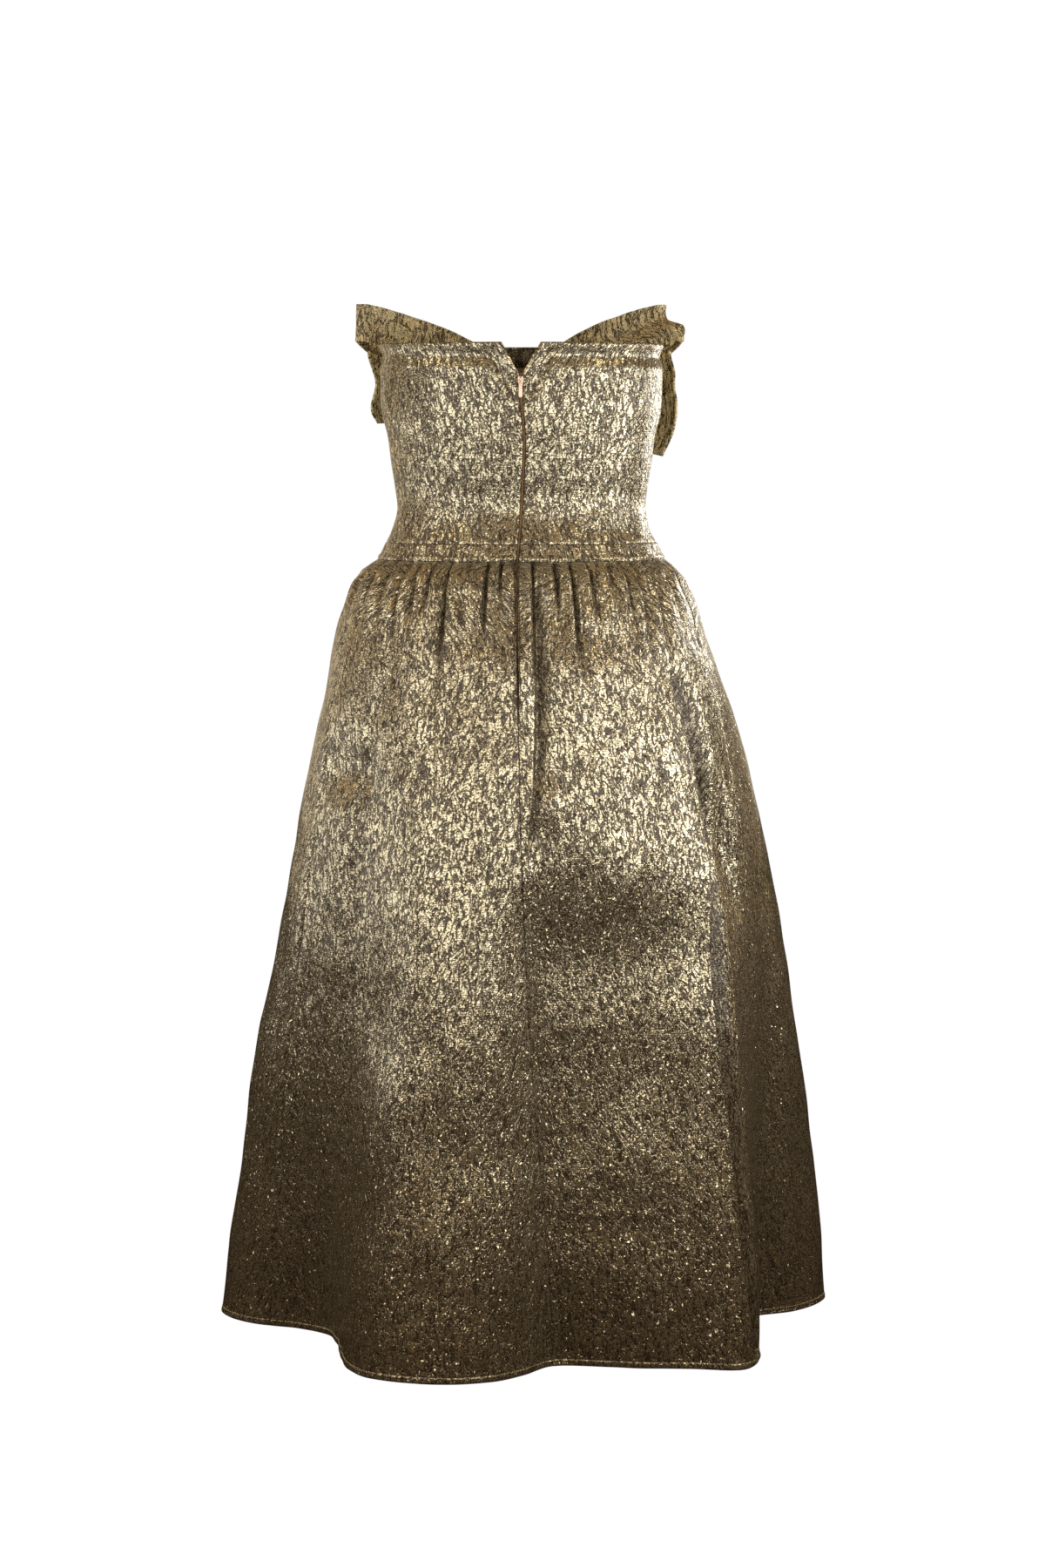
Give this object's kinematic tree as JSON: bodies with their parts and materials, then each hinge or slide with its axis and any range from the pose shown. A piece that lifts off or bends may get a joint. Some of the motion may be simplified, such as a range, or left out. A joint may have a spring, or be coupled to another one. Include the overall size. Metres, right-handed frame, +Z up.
{
  "type": "midi dress",
  "caption": "Strapless midi dress in crinkled gold metallic cloth: fitted bodice with a notched back and zip, a narrow waistband, a full gathered skirt and a large bow on the front.",
  "frame": {"origin": "centre of the waist seam, at the lower edge of the waistband on the body's axis, where the wearer's waist holds the dress", "axes": "+Z up along the body, front faces -Y, back with the zip faces +Y, the wearer's left is +X"},
  "size_m": [0.5588, 0.5476, 0.924],
  "materials": {
    "gold_cloth": "crinkled metallic cloth, gold thread over a brown ground",
    "zip_tape": "woven brown zip tape",
    "zip_chain": "closed brown coil of the zip",
    "zip_metal": "polished pinkish gold metal"
  },
  "bodies": {
    "dress": {"bodice_front": "gold_cloth", "bodice_side_front_left": "gold_cloth", "bodice_side_front_right": "gold_cloth", "bodice_side_back_left": "gold_cloth", "bodice_side_back_right": "gold_cloth", "bodice_back_left": "gold_cloth", "bodice_back_right": "gold_cloth", "waistband_front": "gold_cloth", "waistband_back_left": "gold_cloth", "waistband_back_right": "gold_cloth", "skirt_front": "gold_cloth", "skirt_back_left": "gold_cloth", "skirt_back_right": "gold_cloth", "zip_tape_left": "zip_tape", "zip_tape_right": "zip_tape", "zip_chain": "zip_chain", "zip_slider": "zip_metal", "bow_loop_left": "gold_cloth", "bow_loop_right": "gold_cloth", "bow_tail_left": "gold_cloth", "bow_tail_right": "gold_cloth", "bow_knot": "gold_cloth"},
    "zip_pull_tab": {"zip_pull": "zip_metal"}
  },
  "joints": [
    {"name": "zip_pull_swing", "type": "hinge", "parent": "dress", "child": "zip_pull_tab", "pos_m": [0.00059, 0.09761, 0.16], "axis": [1, 0, 0], "range_deg": [0, 150]}
  ]
}
